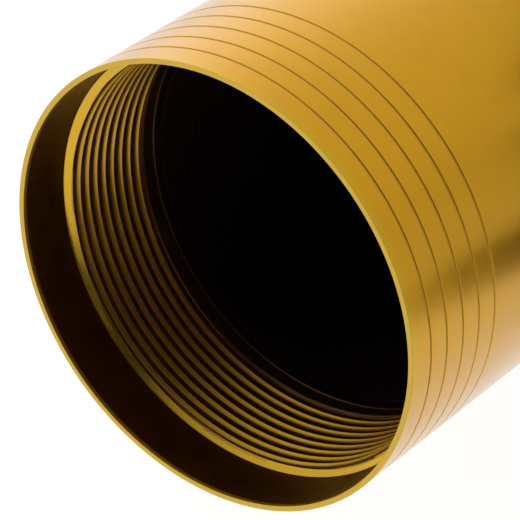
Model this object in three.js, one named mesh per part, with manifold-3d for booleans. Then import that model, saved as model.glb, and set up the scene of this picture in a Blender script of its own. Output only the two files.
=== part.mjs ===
// Two-inch star diagonal: a 90 degree mirror housing with a gold 2-inch nosepiece,
// a 2-inch eyepiece holder with a brass compression ring, and a 2-inch to 1.25-inch adapter.
//
// Frame: millimetres, +Z up, with the part lying on its flat side as on a table. The origin is the
// centre of the nosepiece's shoulder plane, on the optical axis. The nosepiece points along -Y and the
// eyepiece axis along +X.
//
// The parts are drawn upright, as in use: there the eyepiece axis rises along +Z and X runs across, and
// left, right, upper, lower and rear are named as seen from the nosepiece end. The last step lays the
// whole assembly over on its right side.

import * as THREE from "three";
import { mergeVertices } from "three/addons/utils/BufferGeometryUtils.js";
import Module from "manifold-3d";

const wasm = await Module();
wasm.setup();

// ---------------------------------------------------------------- driving dimensions

const BARREL_R = 25.4; // 2-inch barrel
const BARREL_LEN = 46; // front lip to shoulder
const FLANGE_R = 28.6;
const FLANGE_T = 5;
const SPIGOT_R = 24.8; // locating spigots of nosepiece and holder
const SPIGOT_LEN = 6;
const SPIGOT_GROOVE_D = 0.5; // flat-bottomed groove that the grub screws press on
const SPIGOT_GROOVE_W = 3.4;
const SPIGOT_GROOVE_AT = 3.2; // from the spigot's end to the middle of the groove

const LIP_BORE_R = 24.7; // entrance recess in front of the filter thread
const LIP_BORE_LEN = 6.2;
const THREAD_MINOR_R = 23.6; // filter thread, minor diameter
const THREAD_START = 6.6;
const THREAD_END = 18.7;
const RELIEF_R = 23.85;
const RELIEF_END = 20.4;

const GRIP_GROOVES = [3.07, 5.83, 8.66, 11.47, 14.28]; // distance of each fine groove from the lip
const GRIP_W = 0.42;
const GRIP_D = 0.2;

const BAFFLE_R = 23.2;
const BAFFLE_BORE_R = 22.7;
const BAFFLE_START = 20.9;

const BODY_W = 64; // housing, across X
const BODY_H = 34; // half height, and the distance from the front face to the eyepiece axis
const EP_Y = FLANGE_T + BODY_H; // eyepiece axis
const BODY_REAR = EP_Y + BODY_H;
const SLANT = 15; // offset of the slanted back face from the mirror plane, along Y
const BODY_BEVEL = 1.2;
const BODY_EDGE = 2.5; // chamfers across the housing's front and rear edges
const LIGHT_BORE_R = 22.7;
const COUNTERBORE_R = 25.1;
const COUNTERBORE_D = 6.3;

const POCKET_X = 26; // half sizes of the mirror pocket
const POCKET_S = 34.2;
const POCKET_CUT = 11;
const POCKET_FLOOR = 1.0; // ledge above the mirror plane
const MIRROR_X = 25;
const MIRROR_S = 33.3;
const MIRROR_T = 7;

const PLATE_X = 30.4;
const PLATE_S = 35.6;
const PLATE_T = 3.5;
const PLATE_SCREW_X = 26.2;
const PLATE_SCREW_S = 32.6;

const HOLDER_R = 31.7;
const HOLDER_WAIST_R = 30.2;
const HOLDER_TOP = 70; // height above the optical axis
const HOLDER_BORE_R = 25.5;
const HOLDER_STOP = 38; // top of the ledge that a 2-inch barrel rests on
const RING2_Z = 59; // height of the 2-inch compression ring and its thumbscrews

const ADAPTER_R = 25.3;
const ADAPTER_BOTTOM = 40;
const ADAPTER_FLANGE_R = 28.6;
const ADAPTER_FLANGE_Z = 70.3;
const ADAPTER_TOP = 83.3;
const SOCKET_R = 15.95; // 1.25-inch socket
const RING125_Z = 77;

const CLAMP_AZ = [-36, 36]; // holder thumbscrews, degrees from the back (+Y) towards +X
const ADAPTER_AZ = 0;
const SEG = 48;

// ---------------------------------------------------------------- helpers

const deg = (a) => (a * Math.PI) / 180;

function solid(geometry, matrix) {
  let g = geometry.clone();
  g.deleteAttribute("normal");
  g.deleteAttribute("uv");
  if (matrix) g.applyMatrix4(matrix);
  g = mergeVertices(g, 1e-4);
  const make = (tri) =>
    new wasm.Manifold(
      new wasm.Mesh({
        numProp: 3,
        vertProperties: new Float32Array(g.attributes.position.array),
        triVerts: tri,
      }),
    );
  const tri = new Uint32Array(g.index.array);
  let m = make(tri);
  if (m.volume() < 0) {
    for (let i = 0; i < tri.length; i += 3) [tri[i + 1], tri[i + 2]] = [tri[i + 2], tri[i + 1]];
    m = make(tri);
  }
  return m;
}

function geometryOf(manifold) {
  const m = manifold.getMesh();
  const v = new Float32Array(m.numVert * 3);
  for (let i = 0; i < m.numVert; i++)
    v.set(m.vertProperties.subarray(i * m.numProp, i * m.numProp + 3), i * 3);
  let g = new THREE.BufferGeometry();
  g.setAttribute("position", new THREE.BufferAttribute(v, 3));
  g.setIndex(new THREE.BufferAttribute(new Uint32Array(m.triVerts), 1));
  g = g.toNonIndexed();
  g.computeVertexNormals();
  return g;
}

// Solid of revolution about Y from a closed list of [radius, height] points.
function lathe(points, segments = SEG) {
  const p = points.map(([r, y]) => new THREE.Vector2(r, y));
  p.push(p[0].clone());
  return solid(new THREE.LatheGeometry(p, segments));
}

// Plain cylinder between two heights on Y.
function rod(r, y0, y1, segments = 24, r1 = r) {
  const g = new THREE.CylinderGeometry(r1, r, y1 - y0, segments);
  g.translate(0, (y0 + y1) / 2, 0);
  return solid(g);
}

const spin = (manifold, x, y, z) => manifold.rotate([x, y, z]);
const shift = (manifold, x, y, z) => manifold.translate([x, y, z]);

// A solid built along +Y, turned to point outwards at an azimuth round the Y axis.
// Azimuth 0 points along local -Z, 90 along +X.
function outward(manifold, azimuth) {
  return spin(spin(manifold, -90, 0, 0), 0, -azimuth, 0);
}

function octagon(hx, hy, cut) {
  const s = new THREE.Shape();
  s.moveTo(hx - cut, -hy);
  s.lineTo(hx, -hy + cut);
  s.lineTo(hx, hy - cut);
  s.lineTo(hx - cut, hy);
  s.lineTo(-hx + cut, hy);
  s.lineTo(-hx, hy - cut);
  s.lineTo(-hx, -hy + cut);
  s.lineTo(-hx + cut, -hy);
  s.closePath();
  return s;
}

// Prism of a shape in local XY between two heights on local Z, with an optional edge bevel.
function prism(shape, z0, z1, bevel = 0) {
  const g = new THREE.ExtrudeGeometry(shape, {
    depth: z1 - z0 - 2 * bevel,
    steps: 1,
    curveSegments: 6,
    bevelEnabled: bevel > 0,
    bevelThickness: bevel,
    bevelSize: bevel,
    bevelOffset: -bevel,
    bevelSegments: 1,
  });
  g.translate(0, 0, z0 + bevel);
  return solid(g);
}

const MAT = {
  gold: new THREE.MeshStandardMaterial({ color: 0xc8962c, roughness: 0.38, metalness: 1 }),
  black: new THREE.MeshStandardMaterial({ color: 0x17181a, roughness: 0.45, metalness: 0.6 }),
  blackMatte: new THREE.MeshStandardMaterial({ color: 0x0b0b0c, roughness: 0.95, metalness: 0 }),
  mirror: new THREE.MeshStandardMaterial({ color: 0xdfe6ee, roughness: 0.02, metalness: 1 }),
  brass: new THREE.MeshStandardMaterial({ color: 0xb98f4a, roughness: 0.3, metalness: 1 }),
  steel: new THREE.MeshStandardMaterial({ color: 0xb4b6b9, roughness: 0.3, metalness: 1 }),
  steelDark: new THREE.MeshStandardMaterial({ color: 0x2b2c2e, roughness: 0.4, metalness: 1 }),
  nylon: new THREE.MeshStandardMaterial({ color: 0xe8e4d8, roughness: 0.55, metalness: 0 }),
  rubber: new THREE.MeshStandardMaterial({ color: 0x202022, roughness: 0.9, metalness: 0 }),
};

function part(name, manifold, material) {
  const m = new THREE.Mesh(geometryOf(manifold), material);
  m.name = name;
  return m;
}

// Small screws. Each is built along +Y with its outer end at y = 0 and its body below it.
function hexRecess(acrossFlats, depth) {
  return rod(acrossFlats / Math.sqrt(3), -depth, 1, 6);
}
function grubScrew(len) {
  return lathe([[0, -len], [1.1, -len], [1.4, -len + 0.3], [1.4, -0.2], [1.2, 0], [0, 0]].reverse(), 14)
    .subtract(hexRecess(1.5, 1.4));
}
function countersunkScrew(len) {
  return lathe([[0, -len], [1.1, -len], [1.35, -len + 0.4], [1.35, -1.75], [2.75, -0.25], [2.75, 0], [0, 0]].reverse(), 16)
    .subtract(hexRecess(2.0, 1.2));
}
// Thumbscrew: shank towards the clamped barrel, head outwards. y = 0 is the underside of the head collar.
function thumbscrew(shankLen) {
  return lathe(
    [
      [0, -shankLen], [1.5, -shankLen], [1.8, -shankLen + 0.3], [1.8, 0], [3.3, 0], [3.3, 1.4],
      [4.5, 1.9], [5.0, 2.4], [5.0, 9.4], [4.5, 9.9], [3.0, 9.9], [2.7, 9.5], [0, 9.5],
    ].reverse(),
    20,
  );
}

// Swivelling nylon tip on the end of a thumbscrew, y = 0 towards the compression ring.
function clampTip() {
  return lathe([[0, 0], [1.2, 0], [1.45, 0.2], [1.45, 0.9], [0, 0.9]].reverse(), 14);
}

const object = new THREE.Group();

// ---------------------------------------------------------------- nosepiece, local Y = distance from the lip

const nose = new THREE.Group();
nose.position.set(0, -BARREL_LEN, 0);
object.add(nose);

const spigotEnd = BARREL_LEN + FLANGE_T + SPIGOT_LEN;
const nosePoints = [[25.05, 0], [BARREL_R, 0.35]];
for (const s of GRIP_GROOVES)
  nosePoints.push([BARREL_R, s - GRIP_W / 2], [BARREL_R - GRIP_D, s], [BARREL_R, s + GRIP_W / 2]);
nosePoints.push(
  [BARREL_R, BARREL_LEN],
  [FLANGE_R - 0.5, BARREL_LEN],
  [FLANGE_R, BARREL_LEN + 0.5],
  [FLANGE_R, BARREL_LEN + FLANGE_T - 0.3],
  [FLANGE_R - 0.3, BARREL_LEN + FLANGE_T],
  [SPIGOT_R, BARREL_LEN + FLANGE_T],
  [SPIGOT_R, spigotEnd - SPIGOT_GROOVE_AT - SPIGOT_GROOVE_W / 2],
  [SPIGOT_R - SPIGOT_GROOVE_D, spigotEnd - SPIGOT_GROOVE_AT - SPIGOT_GROOVE_W / 2],
  [SPIGOT_R - SPIGOT_GROOVE_D, spigotEnd - SPIGOT_GROOVE_AT + SPIGOT_GROOVE_W / 2],
  [SPIGOT_R, spigotEnd - SPIGOT_GROOVE_AT + SPIGOT_GROOVE_W / 2],
  [SPIGOT_R, spigotEnd - 0.3],
  [SPIGOT_R - 0.3, spigotEnd],
  [THREAD_MINOR_R, spigotEnd],
  [THREAD_MINOR_R, RELIEF_END + 0.15],
  [THREAD_MINOR_R + 0.15, RELIEF_END],
  [RELIEF_R, RELIEF_END],
  [RELIEF_R, THREAD_END],
  [THREAD_MINOR_R, THREAD_END],
  [THREAD_MINOR_R, THREAD_START],
  [LIP_BORE_R, LIP_BORE_LEN],
  [LIP_BORE_R, 0.1],
  [LIP_BORE_R + 0.1, 0],
);
nose.add(part("nosepiece", lathe(nosePoints), MAT.gold));

nose.add(
  part(
    "light_baffle",
    lathe([
      [BAFFLE_R, BAFFLE_START], [BAFFLE_R, spigotEnd - 0.2], [BAFFLE_BORE_R, spigotEnd - 0.2],
      [BAFFLE_BORE_R, BAFFLE_START],
    ]),
    MAT.blackMatte,
  ),
);

// Grub screws through the housing walls into the nosepiece spigot's groove.
const noseGrubY = spigotEnd - SPIGOT_GROOVE_AT;
const noseGrubOuter = { left: BODY_W / 2 - 0.8, right: BODY_W / 2 - 0.8, bottom: BODY_H - 2.2 };
for (const side of Object.keys(noseGrubOuter)) {
  const turn = new THREE.Group();
  turn.position.set(0, noseGrubY, 0);
  nose.add(turn);
  const len = noseGrubOuter[side] - (SPIGOT_R - SPIGOT_GROOVE_D) - 0.3;
  const m = part("nosepiece_grub_screw_" + side, grubScrew(len), MAT.steelDark);
  const d = { left: [-1, 0], right: [1, 0], bottom: [0, -1] }[side];
  m.position.set(d[0] * noseGrubOuter[side], 0, d[1] * noseGrubOuter[side]);
  m.quaternion.setFromUnitVectors(new THREE.Vector3(0, 1, 0), new THREE.Vector3(d[0], 0, d[1]));
  turn.add(m);
}

// ---------------------------------------------------------------- housing
// local x = world Y, local y = world Z, local z = world X

const body = new THREE.Group();
body.quaternion.setFromRotationMatrix(
  new THREE.Matrix4().makeBasis(
    new THREE.Vector3(0, 1, 0),
    new THREE.Vector3(0, 0, 1),
    new THREE.Vector3(1, 0, 0),
  ),
);
object.add(body);

const front = FLANGE_T + 0.3;
const slantBottomY = EP_Y + SLANT - BODY_H;
const slantRearZ = BODY_REAR - EP_Y - SLANT;
const sideShape = new THREE.Shape();
sideShape.moveTo(front, -BODY_H + BODY_EDGE);
sideShape.lineTo(front + BODY_EDGE, -BODY_H);
sideShape.lineTo(slantBottomY, -BODY_H);
sideShape.lineTo(BODY_REAR, slantRearZ);
sideShape.lineTo(BODY_REAR, BODY_H - BODY_EDGE);
sideShape.lineTo(BODY_REAR - BODY_EDGE, BODY_H);
sideShape.lineTo(front + BODY_EDGE, BODY_H);
sideShape.lineTo(front, BODY_H - BODY_EDGE);
sideShape.closePath();

// Everything cut at the mirror: local frame with x across, y up the slope, z the mirror normal.
const mirrorToBody = (m) => {
  // mirror frame -> world, then world -> housing frame
  const world = shift(spin(m, 45, 0, 0), 0, EP_Y, 0);
  const t = new THREE.Matrix4().makeBasis(
    new THREE.Vector3(0, 0, 1),
    new THREE.Vector3(1, 0, 0),
    new THREE.Vector3(0, 1, 0),
  ); // world x -> local z, world y -> local x, world z -> local y
  const e = t.elements;
  return world.transform([...e]);
};

const perp = SLANT / Math.SQRT2;
let housing = prism(sideShape, -BODY_W / 2, BODY_W / 2, BODY_BEVEL);
// light path in from the nosepiece (along local x) and out to the eyepiece (along local y)
const alongY = (m) => spin(m, 0, 0, -90); // +Y rod -> +x
// the bores stop at the mirror pocket's floor plane: cut each with the half space in front of it
const bigBox = (() => {
  const g = new THREE.BoxGeometry(200, 200, 200);
  g.translate(0, 0, 100 + POCKET_FLOOR - 0.01);
  return mirrorToBody(solid(g));
})();
const inletBore = alongY(rod(LIGHT_BORE_R, 0, 60, SEG)).intersect(bigBox);
const outletBore = shift(rod(LIGHT_BORE_R, -30, 60, SEG), EP_Y, 0, 0).intersect(bigBox);
housing = housing
  .subtract(inletBore)
  .subtract(outletBore)
  .subtract(alongY(rod(COUNTERBORE_R, 0, FLANGE_T + COUNTERBORE_D, SEG)))
  .subtract(shift(rod(COUNTERBORE_R, BODY_H - COUNTERBORE_D, BODY_H + 5, SEG), EP_Y, 0, 0))
  .subtract(mirrorToBody(prism(octagon(POCKET_X, POCKET_S, POCKET_CUT), -20, POCKET_FLOOR)));
for (const sx of [-1, 1])
  for (const ss of [-1, 1])
    housing = housing.subtract(
      mirrorToBody(shift(spin(rod(1.65, 0, 6.2, 12), 90, 0, 0), sx * PLATE_SCREW_X, ss * PLATE_SCREW_S, -perp - 0.5)),
    );
// grub screw holes for the nosepiece: sides and bottom
const noseGrubWorldY = -BARREL_LEN + noseGrubY;
for (const sz of [-1, 1])
  housing = housing.subtract(
    shift(spin(rod(1.7, 20, 40, 14), sz * 90, 0, 0), noseGrubWorldY, 0, 0),
  );
housing = housing.subtract(shift(spin(rod(1.7, 20, 40, 14), 180, 0, 0), noseGrubWorldY, 0, 0));
// grub screw holes for the eyepiece holder: two sides and the back
const holderGrubZ = BODY_H - SPIGOT_LEN + SPIGOT_GROOVE_AT;
for (const sz of [-1, 1])
  housing = housing.subtract(
    shift(spin(rod(1.7, 20, 40, 14), sz * 90, 0, 0), EP_Y, holderGrubZ, 0),
  );
housing = housing.subtract(shift(alongY(rod(1.7, 20, 50, 14)), EP_Y, holderGrubZ, 0));
body.add(part("housing", housing, MAT.black));

// ---------------------------------------------------------------- mirror cell, local x across, y up the slope, z the mirror normal

const cell = new THREE.Group();
cell.position.set(0, EP_Y, 0);
cell.rotation.x = Math.PI / 4;
object.add(cell);

cell.add(part("mirror", prism(octagon(MIRROR_X, MIRROR_S, 11.2), -MIRROR_T, 0, 0.4), MAT.mirror));

const padShape = new THREE.Shape();
padShape.moveTo(-3, -0.85);
padShape.lineTo(3, -0.85);
padShape.lineTo(3, 0.85);
padShape.lineTo(-3, 0.85);
padShape.closePath();
const padSolid = () => prism(padShape, 0.3, 0.7);
const pads = {
  mirror_pad_upper_left: [-20.3, 25.3, 45],
  mirror_pad_upper_right: [20.3, 25.3, -45],
  mirror_pad_lower_left: [-20.3, -25.3, -45],
  mirror_pad_lower_right: [20.3, -25.3, 45],
};
for (const [name, [x, y, a]] of Object.entries(pads)) {
  const m = part(name, padSolid(), MAT.nylon);
  m.position.set(x, y, 0);
  m.rotation.z = deg(a);
  cell.add(m);
}

cell.add(
  part("mirror_gasket", prism(octagon(22.5, 30.5, 9), -MIRROR_T - 1.8, -MIRROR_T - 0.3), MAT.rubber),
);

let plate = prism(octagon(PLATE_X, PLATE_S, 3), -perp - 0.3 - PLATE_T, -perp - 0.3, 0.6).add(
  prism(octagon(22.5, 30.5, 9), -perp - 1.0, -MIRROR_T - 2.1),
);
for (const sx of [-1, 1])
  for (const ss of [-1, 1]) {
    const z0 = -perp - 0.3 - PLATE_T;
    plate = plate
      .subtract(shift(spin(rod(1.65, -1, 6, 16), 90, 0, 0), sx * PLATE_SCREW_X, ss * PLATE_SCREW_S, z0))
      .subtract(shift(spin(rod(3.5, -0.2, 1.85, 16, 1.45), 90, 0, 0), sx * PLATE_SCREW_X, ss * PLATE_SCREW_S, z0));
  }
cell.add(part("back_plate", plate, MAT.black));

const plateCorners = { upper_left: [-1, 1], upper_right: [1, 1], lower_left: [-1, -1], lower_right: [1, -1] };
for (const [name, [sx, ss]] of Object.entries(plateCorners)) {
  const m = part("back_plate_screw_" + name, countersunkScrew(8.6), MAT.steelDark);
  m.rotation.x = -Math.PI / 2; // outer end faces away from the mirror
  m.position.set(sx * PLATE_SCREW_X, ss * PLATE_SCREW_S, -perp - 0.3 - PLATE_T + 0.05);
  cell.add(m);
}

// ---------------------------------------------------------------- eyepiece side, local Y = world Z, local -Z = world Y

const ep = new THREE.Group();
ep.position.set(0, EP_Y, 0);
ep.rotation.x = Math.PI / 2;
object.add(ep);

let holder = lathe([
  [SPIGOT_R, BODY_H + 0.3],
  [HOLDER_R - 0.5, BODY_H + 0.3],
  [HOLDER_R, BODY_H + 0.8],
  [HOLDER_R, BODY_H + 5],
  [HOLDER_WAIST_R, BODY_H + 6.4],
  [HOLDER_WAIST_R, RING2_Z - 9],
  [HOLDER_R, RING2_Z - 7.6],
  [HOLDER_R, HOLDER_TOP - 0.8],
  [HOLDER_R - 0.8, HOLDER_TOP],
  [HOLDER_BORE_R + 0.5, HOLDER_TOP],
  [HOLDER_BORE_R, HOLDER_TOP - 0.5],
  [HOLDER_BORE_R, RING2_Z + 3.1],
  [27.75, RING2_Z + 3.1],
  [27.75, RING2_Z - 3.1],
  [HOLDER_BORE_R, RING2_Z - 3.1],
  [HOLDER_BORE_R, HOLDER_STOP],
  [LIGHT_BORE_R, HOLDER_STOP],
  [LIGHT_BORE_R, BODY_H - SPIGOT_LEN],
  [SPIGOT_R - 0.3, BODY_H - SPIGOT_LEN],
  [SPIGOT_R, BODY_H - SPIGOT_LEN + 0.3],
  [SPIGOT_R, holderGrubZ - SPIGOT_GROOVE_W / 2],
  [SPIGOT_R - SPIGOT_GROOVE_D, holderGrubZ - SPIGOT_GROOVE_W / 2],
  [SPIGOT_R - SPIGOT_GROOVE_D, holderGrubZ + SPIGOT_GROOVE_W / 2],
  [SPIGOT_R, holderGrubZ + SPIGOT_GROOVE_W / 2],
]);
for (const az of CLAMP_AZ)
  holder = holder.subtract(shift(outward(rod(2.15, 26, 36, 16), az), 0, RING2_Z, 0));
ep.add(part("eyepiece_holder", holder, MAT.black));

for (const [side, az, outer] of [["left", -90, BODY_W / 2 - 0.8], ["right", 90, BODY_W / 2 - 0.8], ["rear", 0, BODY_H - 0.8]]) {
  const turn = new THREE.Group();
  turn.position.set(0, holderGrubZ, 0);
  turn.rotation.y = -deg(az);
  ep.add(turn);
  const len = outer - (SPIGOT_R - SPIGOT_GROOVE_D) - 0.3;
  const m = part("holder_grub_screw_" + side, grubScrew(len), MAT.steelDark);
  m.position.z = -outer;
  m.rotation.x = -Math.PI / 2;
  turn.add(m);
}

// Split brass rings: a thin hoop with a slit, so that a thumbscrew can close it.
function splitRing(rIn, rOut, y0, y1, slitAz) {
  const slit = new THREE.BoxGeometry(1.6, 20, 12);
  slit.translate(0, (y0 + y1) / 2, -(rIn + rOut) / 2);
  return lathe([[rOut, y0], [rOut, y1], [rIn, y1], [rIn, y0]], 40).subtract(spin(solid(slit), 0, -slitAz, 0));
}
ep.add(part("compression_ring_2in", splitRing(25.62, 27.2, RING2_Z - 2.8, RING2_Z + 2.8, 180), MAT.brass));

const names = { "-36": "left", 36: "right" };
for (const az of CLAMP_AZ) {
  const side = names[az];
  const turn = new THREE.Group();
  turn.position.set(0, RING2_Z, 0);
  turn.rotation.y = -deg(az);
  ep.add(turn);
  const tip = part("clamp_tip_" + side, clampTip(), MAT.nylon);
  tip.position.z = -27.5;
  tip.rotation.x = -Math.PI / 2;
  turn.add(tip);
  const screw = part("thumbscrew_" + side, thumbscrew(HOLDER_R + 0.5 - 28.65), MAT.steel);
  screw.position.z = -(HOLDER_R + 0.5);
  screw.rotation.x = -Math.PI / 2;
  turn.add(screw);
}

// ---------------------------------------------------------------- 2-inch to 1.25-inch adapter

let adapter = lathe([
  [ADAPTER_R - 0.5, ADAPTER_BOTTOM],
  [ADAPTER_R, ADAPTER_BOTTOM + 0.5],
  [ADAPTER_R, ADAPTER_FLANGE_Z],
  [ADAPTER_FLANGE_R - 0.4, ADAPTER_FLANGE_Z],
  [ADAPTER_FLANGE_R, ADAPTER_FLANGE_Z + 0.4],
  [ADAPTER_FLANGE_R, ADAPTER_TOP - 2.0],
  [ADAPTER_FLANGE_R - 2.0, ADAPTER_TOP],
  [SOCKET_R + 0.7, ADAPTER_TOP],
  [SOCKET_R, ADAPTER_TOP - 0.7],
  [SOCKET_R, RING125_Z + 2.6],
  [18.2, RING125_Z + 2.6],
  [18.2, RING125_Z - 2.6],
  [SOCKET_R, RING125_Z - 2.6],
  [SOCKET_R, ADAPTER_BOTTOM + 9],
  [14.5, ADAPTER_BOTTOM + 9],
  [14.5, ADAPTER_BOTTOM + 7],
  [21, ADAPTER_BOTTOM + 7],
  [21, ADAPTER_BOTTOM + 4],
  [THREAD_MINOR_R, ADAPTER_BOTTOM + 4],
  [THREAD_MINOR_R, ADAPTER_BOTTOM],
]);
adapter = adapter.subtract(shift(outward(rod(2.15, 17, 36, 16), ADAPTER_AZ), 0, RING125_Z, 0));
ep.add(part("adapter_1_25in", adapter, MAT.black));
ep.add(part("compression_ring_1_25in", splitRing(16.1, 17.6, RING125_Z - 2.3, RING125_Z + 2.3, 180), MAT.brass));
{
  const turn = new THREE.Group();
  turn.position.set(0, RING125_Z, 0);
  turn.rotation.y = -deg(ADAPTER_AZ);
  ep.add(turn);
  const tip = part("clamp_tip_adapter", clampTip(), MAT.nylon);
  tip.position.z = -17.9;
  tip.rotation.x = -Math.PI / 2;
  turn.add(tip);
  const screw = part("thumbscrew_adapter", thumbscrew(ADAPTER_FLANGE_R + 0.5 - 19.05), MAT.steel);
  screw.position.z = -(ADAPTER_FLANGE_R + 0.5);
  screw.rotation.x = -Math.PI / 2;
  turn.add(screw);
}

// lay the assembly on its right side: the eyepiece axis turns from +Z to +X
object.rotation.y = Math.PI / 2;

export default object;
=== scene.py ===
import bmesh
import bpy
import math
from mathutils import Matrix, Vector


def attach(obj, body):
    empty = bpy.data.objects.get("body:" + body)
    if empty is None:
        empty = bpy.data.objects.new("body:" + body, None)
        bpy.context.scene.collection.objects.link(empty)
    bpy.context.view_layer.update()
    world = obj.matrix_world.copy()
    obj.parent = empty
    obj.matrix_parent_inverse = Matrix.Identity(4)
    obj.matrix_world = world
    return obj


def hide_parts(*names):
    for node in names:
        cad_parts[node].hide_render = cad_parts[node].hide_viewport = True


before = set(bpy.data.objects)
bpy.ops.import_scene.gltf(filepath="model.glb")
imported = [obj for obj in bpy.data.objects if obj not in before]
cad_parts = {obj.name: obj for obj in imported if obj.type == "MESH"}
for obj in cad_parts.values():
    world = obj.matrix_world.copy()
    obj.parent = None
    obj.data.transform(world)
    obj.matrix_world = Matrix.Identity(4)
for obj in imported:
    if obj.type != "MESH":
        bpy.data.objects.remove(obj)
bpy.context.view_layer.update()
scene = bpy.context.scene

# ------------------------------------------------------------------ camera and colour

cam = bpy.data.objects.new("camera", bpy.data.cameras.new("camera"))
scene.collection.objects.link(cam)
cam.data.sensor_width = 36
cam.data.lens = 238.92
cam.data.clip_start = 0.01
cam.data.clip_end = 20
right = Vector((0.79530481, 0.60620974, 0.0))
up = Vector((-0.31677507, 0.41558675, 0.85260847))
back = Vector((0.51685956, -0.67808362, 0.52255028))
cam.matrix_world = Matrix.Translation((0.18474830, -0.27979237, 0.18616830)) @ Matrix(
    (right, up, back)
).transposed().to_4x4()
scene.camera = cam
scene.view_settings.view_transform = "Standard"
scene.view_settings.look = "None"

# ------------------------------------------------------------------ mesh helpers


def rounded(points, seg=3):
    """A closed 2-D outline from (a, b) or (a, b, fillet radius) corners."""
    out = []
    n = len(points)
    for i, p in enumerate(points):
        c = Vector(p[:2])
        rad = p[2] if len(p) > 2 else 0
        if rad <= 0:
            out.append(tuple(c))
            continue
        a, b = Vector(points[i - 1][:2]) - c, Vector(points[(i + 1) % n][:2]) - c
        la, lb = a.length, b.length
        a.normalize(), b.normalize()
        ang = math.acos(max(-1, min(1, a.dot(b))))
        if ang > math.pi - 0.02:
            out.append(tuple(c))
            continue
        t = min(rad / math.tan(ang / 2), 0.48 * la, 0.48 * lb)
        r = t * math.tan(ang / 2)
        centre = c + (a + b).normalized() * (r / math.sin(ang / 2))
        p0, p1 = c + a * t - centre, c + b * t - centre
        a0, a1 = math.atan2(p0.y, p0.x), math.atan2(p1.y, p1.x)
        d = (a1 - a0 + math.pi) % (2 * math.pi) - math.pi
        for k in range(seg + 1):
            w = a0 + d * k / seg
            out.append((centre.x + r * math.cos(w), centre.y + r * math.sin(w)))
    return out


def helix(n, start, end, pitch, prof, s0, clip=None):
    """Rows of a helical thread between two stations. prof is [(offset along the axis, radius)] over one
    pitch; at turn t the crest line stands at s0 + pitch * t. clip(s, r, turn) trims the radius at the ends."""
    m = len(prof)
    offs = [p[0] for p in prof]
    k0 = math.floor((start - s0 - offs[-1]) / pitch) - 2
    k1 = math.ceil((end - s0 - offs[0]) / pitch) + 1

    def at(phase):
        # radius of the thread form at an offset, wrapped into one pitch
        x = (phase - offs[0]) % pitch + offs[0]
        for i in range(m):
            x1 = offs[i + 1] if i + 1 < m else offs[0] + pitch
            r1 = prof[i + 1][1] if i + 1 < m else prof[0][1]
            if x <= x1 + 1e-9:
                f = (x - offs[i]) / (x1 - offs[i])
                return prof[i][1] * (1 - f) + r1 * f
        return prof[0][1]

    rows = []
    for k in range(k0, k1 + 1):
        for off, rad in prof:
            row = []
            for j in range(n):
                turn = j / n
                s = s0 + pitch * (k + turn) + off
                r = rad
                if s < start or s > end:
                    s = min(max(s, start), end)
                    r = at(s - s0 - pitch * turn)
                if clip:
                    r = clip(s, r, turn)
                row.append((r, s))
            rows.append(row)
    return rows, m


def spun(blocks, n):
    """Closed body of revolution about +Y. blocks is a list of ('ring', (r, s)), ('rings', [...]) or
    ('helix', rows, m); they follow each other round the section, and the last one joins the first."""
    rows, shift = [], []
    for b in blocks:
        if b[0] == "helix":
            a = len(rows)
            rows += b[1]
            shift.append((a, len(rows) - 1, b[2]))
        else:
            for r, s in b[1]:
                rows.append([(r, s)] * n)
    bm = bmesh.new()
    grid = []
    for row in rows:
        line = []
        for j, (r, s) in enumerate(row):
            w = 2 * math.pi * j / n
            line.append(bm.verts.new((r * math.cos(w), s, r * math.sin(w))))
        grid.append(line)
    total = len(rows)

    def quad(*v):
        if len(set(v)) == 4:
            try:
                bm.faces.new(v)
            except ValueError:
                pass

    for i in range(total):
        i2 = (i + 1) % total
        for j in range(n - 1):
            quad(grid[i][j], grid[i][j + 1], grid[i2][j + 1], grid[i2][j])
        m = 0
        for a, b, mm in shift:
            if a <= i < b:
                m = mm
                if i2 + m > b:
                    m = None
                break
        if m is None:
            continue
        quad(grid[i][n - 1], grid[(i + m) % total][0], grid[(i2 + m) % total][0], grid[i2][n - 1])
    return clean(bm)


def clean(bm, dist=2e-5):
    bmesh.ops.remove_doubles(bm, verts=bm.verts, dist=dist)
    bmesh.ops.dissolve_degenerate(bm, edges=bm.edges, dist=1e-6)
    loose = [v for v in bm.verts if not v.link_faces]
    bmesh.ops.delete(bm, geom=loose, context="VERTS")
    bmesh.ops.recalc_face_normals(bm, faces=bm.faces)
    if bm.calc_volume(signed=True) < 0:
        bmesh.ops.reverse_faces(bm, faces=bm.faces)
    return bm


def turned(outline, n, seg=3):
    return spun([("rings", rounded(outline, seg))], n)


def prism(points, z0, z1, bevel=0.0, seg=3):
    """Prism of an outline in XY between two heights, every edge rounded."""
    bm = bmesh.new()
    lo = [bm.verts.new((x, y, z0)) for x, y in points]
    hi = [bm.verts.new((x, y, z1)) for x, y in points]
    n = len(points)
    bm.faces.new(lo[::-1])
    bm.faces.new(hi)
    for i in range(n):
        bm.faces.new((lo[i], lo[(i + 1) % n], hi[(i + 1) % n], hi[i]))
    clean(bm)
    if bevel:
        bmesh.ops.bevel(
            bm, geom=bm.edges[:], offset=bevel, segments=seg, profile=0.5,
            affect="EDGES", offset_type="OFFSET", clamp_overlap=True,
        )
    return bm


def octagon(hx, hy, cut):
    return [
        (hx - cut, -hy), (hx, -hy + cut), (hx, hy - cut), (hx - cut, hy),
        (-hx + cut, hy), (-hx, hy - cut), (-hx, -hy + cut), (-hx + cut, -hy),
    ]


def box_bm(lo, hi):
    return prism([(lo[0], lo[1]), (hi[0], lo[1]), (hi[0], hi[1]), (lo[0], hi[1])], lo[2], hi[2])


def moved(bm, matrix):
    bm.transform(matrix)
    if matrix.determinant() < 0:
        bmesh.ops.reverse_faces(bm, faces=bm.faces)
    return bm


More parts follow.
